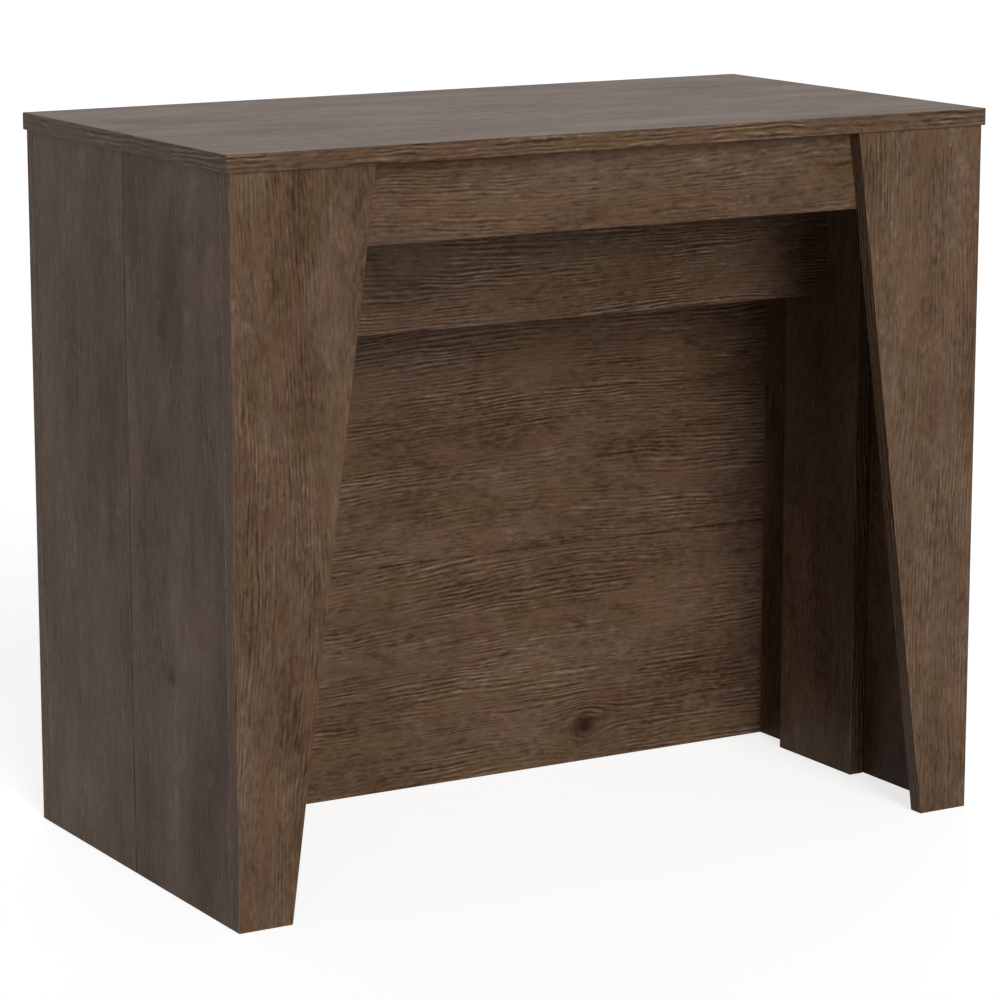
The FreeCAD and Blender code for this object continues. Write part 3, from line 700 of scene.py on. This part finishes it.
class BoardMesh:
    """A board's faces as they are gathered, in board axes: along the grain, across it and through.

    Every point has its wear, and every face a finish, with a normal and a place on the sheet at each corner.
    """

    def __init__(self, sheet):
        self.sheet = sheet
        self.count = 0
        self.points = []
        self.wear = []
        self.faces = []

    def add_points(self, points, wear=0.0):
        """Store points and give their numbers."""
        numbers = self.count + np.arange(len(points))
        self.count += len(points)
        self.points.append(points)
        self.wear.append(np.broadcast_to(wear, len(points)))
        return numbers

    def add_faces(self, corners, normals, grain, finish):
        """Store faces of one corner count."""
        normals = np.broadcast_to(normals, (*corners.shape, 3))
        finish = np.broadcast_to(finish, len(corners))
        self.faces.append((corners, normals, grain, finish))

    def add_rim(self, rim, is_raw):
        """Add a rim, each of its edges on a sheet of its own, and give its point numbers ring by ring."""
        rings, columns = rim.points.shape[:2]
        numbers = self.add_points(rim.points.reshape(-1, 3), np.repeat(rim.wear, columns))
        numbers = numbers.reshape(rings, columns)
        ring = np.arange(rings - 1)[:, None]
        here = np.arange(columns)[None, :]
        around = [(ring, here), (ring + 1, here), (ring + 1, here + 1), (ring, here + 1)]
        quads = np.stack([numbers[r, c % columns] for r, c in around], axis=2)
        normals = np.stack([rim.normals[r, c % columns] for r, c in around], axis=2)
        sheet = self.sheet + EDGE_SHEET + EDGE_SHEET_STEP * rim.owner[None, :]
        places = [np.broadcast_arrays(rim.path[c], rim.profile[r], sheet) for r, c in around]
        grain = np.stack([np.stack(place, axis=2) for place in places], axis=2)
        finish = np.where(is_raw, CORE_SLOT, EDGE_SLOT)[rim.owner]
        self.add_faces(
            quads.reshape(-1, 4),
            normals.reshape(-1, 4, 3),
            grain.reshape(-1, 4, 3),
            np.tile(finish, rings - 1),
        )
        return numbers

    def add_seat(self, centre, face_sign, mouth, floor, depth):
        """Add a screw seat in a face, bare to the chipboard, and give the point numbers of its mouth."""
        cup, cup_normals = seat_cup(centre, face_sign, mouth, floor, depth)
        numbers = self.add_points(cup)
        step = np.arange(SEAT_STEPS)
        after = (step + 1) % SEAT_STEPS
        walls = np.stack([step, after, after + SEAT_STEPS, step + SEAT_STEPS], axis=1)[:, ::face_sign]
        middle = np.full(SEAT_STEPS, 2 * SEAT_STEPS)
        bottom = np.stack([step + SEAT_STEPS, after + SEAT_STEPS, middle], axis=1)[:, ::face_sign]
        self.add_faces(numbers[walls], cup_normals[walls % SEAT_STEPS], cup[walls], CORE_SLOT)
        self.add_faces(numbers[bottom], (0, 0, face_sign), cup[bottom], CORE_SLOT)
        return numbers[step]

    def add_printed_face(self, loops, face_sign, joint):
        """Add a flat printed face inside the first loop of points, with the other loops as its holes."""
        points = np.concatenate(self.points)
        rounds = [points[loop].tolist() for loop in loops]
        triangles = np.concatenate(loops)[np.array(tessellate_polygon(rounds))]
        plan = points[triangles][..., :2]
        side_a = plan[:, 1] - plan[:, 0]
        side_b = plan[:, 2] - plan[:, 0]
        area = side_a[:, 0] * side_b[:, 1] - side_a[:, 1] * side_b[:, 0]
        triangles = np.where((area * face_sign > 0)[:, None], triangles, triangles[:, ::-1])
        places = points[triangles][..., :2] - np.array([0, joint])
        sheet = self.sheet + (0.0 if face_sign > 0 else REAR_FACE_SHEET)
        grain = np.concatenate([places, np.full((*triangles.shape, 1), sheet)], axis=2)
        self.add_faces(triangles, (0, 0, face_sign), grain, PRINT_SLOT)

    def build(self, name, axes):
        """The mesh, with board axes put on the table's axes and every face turned outwards."""
        order = axis_order(axes)
        is_mirrored = np.linalg.det(np.eye(3)[order]) < 0
        turned = slice(None, None, -1) if is_mirrored else slice(None)

        def on_table(vectors):
            """Vectors in board axes as vectors in the table's axes."""
            moved = np.empty_like(vectors)
            moved[..., order] = vectors
            return moved

        all_corners, all_normals, all_grain, all_finishes = zip(*self.faces)
        points = on_table(np.concatenate(self.points))
        sizes = np.concatenate([np.full(len(corners), corners.shape[1]) for corners in all_corners])
        corners = np.concatenate([corners[:, turned].ravel() for corners in all_corners])
        normals = np.concatenate([on_table(normals[:, turned]).reshape(-1, 3) for normals in all_normals])
        grain = np.concatenate([grain[:, turned].reshape(-1, 3) for grain in all_grain])

        mesh = bpy.data.meshes.new(name)
        mesh.vertices.add(len(points))
        mesh.vertices.foreach_set("co", points.ravel())
        mesh.loops.add(len(corners))
        mesh.loops.foreach_set("vertex_index", corners)
        mesh.polygons.add(len(sizes))
        mesh.polygons.foreach_set("loop_start", np.cumsum(sizes) - sizes)
        mesh.polygons.foreach_set("material_index", np.concatenate(all_finishes))
        mesh.attributes.new("grain", "FLOAT_VECTOR", "CORNER").data.foreach_set("vector", grain.ravel())
        mesh.attributes.new("arris", "FLOAT", "POINT").data.foreach_set("value", np.concatenate(self.wear))
        mesh.update(calc_edges=True)
        mesh.polygons.foreach_set("use_smooth", np.ones(len(sizes), dtype=bool))
        mesh.normals_split_custom_set(normals)
        return mesh


body_of = {}
for body, members in frame["record"]["behaviour"]["bodies"].items():
    for member in members:
        body_of[member] = body


def board(node, axes, print_name, raw=(), joint=0.0, seats=(), outline=None):
    """One board in place of its solid.

    The axes name the table's axis along the grain, across it and through the board. Raw edges, such as
    z+ for the upper edge, show the chipboard. The joint is where a printed plank ends, across the grain.
    Seats are a place on a face, two radii and a depth. Without an outline the board fills its solid's box.
    """
    order = axis_order(axes)
    low, high = (np.array(corner)[order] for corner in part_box(node))
    if outline is None:
        outline = [(low[0], low[1]), (high[0], low[1]), (high[0], high[1]), (low[0], high[1])]
    corners = np.array(outline)
    is_raw = np.array([name in raw for name in edge_names(corners, axes)])
    made = BoardMesh(BOARD_SHEET_STEP * BOARDS.index(node))
    rim = BandedRim(corners, np.where(is_raw, RAW_ARRIS, ARRIS), low[2], high[2])
    rings = made.add_rim(rim, is_raw)
    for face_sign, ring, level in ((1, rings[0], high[2]), (-1, rings[-1], low[2])):
        loops = [ring]
        for place, mouth, floor, depth in seats:
            centre = np.array(place)[order]
            if np.isclose(centre[2], level):
                loops.append(made.add_seat(centre, face_sign, mouth, floor, depth))
        made.add_printed_face(loops, face_sign, joint)

    mesh = made.build(node + "_board", axes)
    for finish in (print_name, "chipboard_core", "edge_print"):
        mesh.materials.append(finishes[finish])
    piece = bpy.data.objects.new(node + "_board", mesh)
    bpy.context.scene.collection.objects.link(piece)
    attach(piece, body_of[node])
    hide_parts(node)


def leg_outline(node, side):
    """A leg panel's outline as height and x: upright along the outer edge, tapered to the foot inside."""
    low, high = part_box(node)
    inner, outer = (high.x, low.x) if side == "left" else (low.x, high.x)
    foot = outer + math.copysign(LEG_FOOT_WIDTH, inner - outer)
    corners = [(low.z, outer), (high.z, outer), (high.z, inner), (low.z, foot)]
    return corners if side == "left" else corners[::-1]


def countersink(place, head, shank):
    """Seat of a right-angled flush head."""
    return place, head + FIT, shank + FIT, head - shank


def apron_seats(end):
    """Seats of the flush screws on the inner face of an apron."""
    low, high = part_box(f"{end}_apron")
    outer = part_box(f"{end}_right_leg_panel")[1].x
    face = high.y if end == "front" else low.y
    places = [
        (x_sign * (outer - inset), face, low.z + APRON_SCREW_RISE)
        for x_sign in SIDES.values()
        for inset in APRON_SCREW_INSETS
    ]
    return [countersink(place, APRON_SCREW_HEAD, APRON_SCREW_SHANK) for place in places]


def middle_leg_seats(side):
    """Seats of the two flush screws on the outer face of a middle leg."""
    low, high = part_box(f"middle_{side}_leg")
    bar_low, bar_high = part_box("middle_crossbar")
    face = low.x if side == "left" else high.x
    heights = (bar_high.z - LEG_SCREW_INSET, bar_low.z + LEG_SCREW_INSET)
    return [countersink((face, 0.0, height), LEG_SCREW_HEAD, LEG_SCREW_SHANK) for height in heights]


def cam_seats():
    """Round pockets of the cams in the rear face of the back panel."""
    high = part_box("back_panel")[1]
    places = [
        (x_sign * (high.x - CAM_SETBACK), high.y, (row + 0.5) * high.z / CAM_ROWS)
        for x_sign in SIDES.values()
        for row in range(CAM_ROWS)
    ]
    return [(place, CAM_RADIUS + FIT, CAM_RADIUS + FIT, CAM_DEPTH) for place in places]


board("table_top", "xyz", "top_print_painted_shade")
board("back_panel", "xzy", "back_print", raw=("x-", "x+"), joint=BACK_JOINT, seats=cam_seats())
board("middle_crossbar", "xzy", "crossbar_print", raw=("x-", "x+"), joint=CROSSBAR_JOINT)
for end in ENDS:
    apron = f"{end}_apron"
    raw = ("x-", "x+", "z+")
    board(apron, "xzy", "walnut_print", raw=raw, joint=APRON_JOINT, seats=apron_seats(end))
for side in SIDES:
    leg = f"middle_{side}_leg"
    board(leg, "zyx", "leg_print", joint=MIDDLE_LEG_JOINT, seats=middle_leg_seats(side))
for end, side in QUARTERS:
    leg = f"{end}_{side}_leg_panel"
    joint = SIDES[side] * LEG_JOINT_FROM_MIDDLE
    board(leg, "zxy", "leg_print", raw=("z+",), joint=joint, outline=leg_outline(leg, side))
    panel = f"{end}_{side}_side_panel"
    side_run = "knotty_print" if panel == "front_left_side_panel" else "side_print"
    butt = "y-" if end == "front" else "y+"
    board(panel, "zyx", side_run, raw=("z+", butt), joint=SIDE_JOINT[end])

for name, node in frame["nodes"].items():
    for word, finish in FINISH_OF_WORD.items():
        if word in name:
            for place in node.material_slots:
                place.material = finishes[finish]


# Studio

def add_seen(nodes, links):
    """A value that is 1 for camera, mirror and see-through rays, and 0 for rays that gather light."""
    path = nodes.new("ShaderNodeLightPath")
    seen = path.outputs["Is Camera Ray"]
    for word in ("Is Glossy Ray", "Is Transmission Ray"):
        larger = nodes.new("ShaderNodeMath")
        larger.operation = "MAXIMUM"
        links.new(seen, larger.inputs[0])
        links.new(path.outputs[word], larger.inputs[1])
        seen = larger.outputs[0]
    return seen


def studio_floor():
    """A wide pale floor that takes the table's shadow and is lifted to white where it is seen."""
    side = np.linspace(-FLOOR_REACH, FLOOR_REACH, 2)
    across, along = np.meshgrid(side, side)
    points = np.stack([across, along, np.zeros_like(across)], axis=2).reshape(-1, 3)
    mesh = bpy.data.meshes.new("studio_floor")
    mesh.from_pydata(points.tolist(), [], [(0, 1, 3, 2)])
    floor = bpy.data.objects.new("studio_floor", mesh)
    bpy.context.scene.collection.objects.link(floor)
    paint = Finish("pale_floor")
    matt = paint.node("ShaderNodeBsdfDiffuse", {"Color": FLOOR_GREY})
    lift = paint.times(add_seen(paint.nodes, paint.links), FLOOR_LIFT)
    glow = paint.node("ShaderNodeEmission", {"Strength": lift})
    both = paint.node("ShaderNodeAddShader", {0: matt.outputs[0], 1: glow.outputs[0]})
    paint.node("ShaderNodeOutputMaterial", {"Surface": both.outputs[0]})
    mesh.materials.append(paint.material)


def far_light(name, strength, from_front, height, softness):
    """A far soft light, turned from the front towards the right and raised above the floor, in degrees.

    It isn't mirrored in the boards, where a light this low would white out the top when seen from behind.
    """
    light = bpy.data.lights.new(name, "SUN")
    light.energy = strength
    light.angle = math.radians(softness)
    lamp = bpy.data.objects.new(name, light)
    lamp.rotation_euler = (math.radians(90 - height), 0, math.radians(from_front))
    lamp.visible_glossy = False
    bpy.context.scene.collection.objects.link(lamp)


def studio_light():
    """Even white surroundings, a tall strip of soft light in front and a weak light behind the table."""
    world = bpy.data.worlds.new("studio")
    world.use_nodes = True
    bpy.context.scene.world = world
    nodes = world.node_tree.nodes
    links = world.node_tree.links
    background = nodes["Background"]
    level = nodes.new("ShaderNodeMapRange")
    level.inputs["To Min"].default_value = WORLD_LEVEL
    links.new(add_seen(nodes, links), level.inputs["Value"])
    background.inputs["Color"].default_value = (1, 1, 1, 1)
    links.new(level.outputs["Result"], background.inputs["Strength"])

    for number, height in enumerate(KEY_HEIGHTS):
        strength = KEY_STRENGTH / len(KEY_HEIGHTS)
        far_light(f"key_light_{number}", strength, -KEY_FROM_LEFT, height, KEY_SOFTNESS)
    far_light("back_light", BACK_STRENGTH, 180 - BACK_FROM_RIGHT, BACK_HEIGHT, BACK_SOFTNESS)


def photograph_camera():
    """The camera at the photograph's place, with a long lens."""
    lens = bpy.data.cameras.new("camera")
    lens.lens = CAMERA_LENS
    lens.sensor_width = SENSOR_WIDTH
    camera = bpy.data.objects.new("camera", lens)
    camera.location = CAMERA_PLACE
    camera.rotation_euler = (math.radians(90 - CAMERA_DIP), 0, math.radians(CAMERA_YAW))
    bpy.context.scene.collection.objects.link(camera)
    bpy.context.scene.camera = camera


studio_floor()
studio_light()
photograph_camera()
bpy.context.scene.view_settings.view_transform = "Standard"
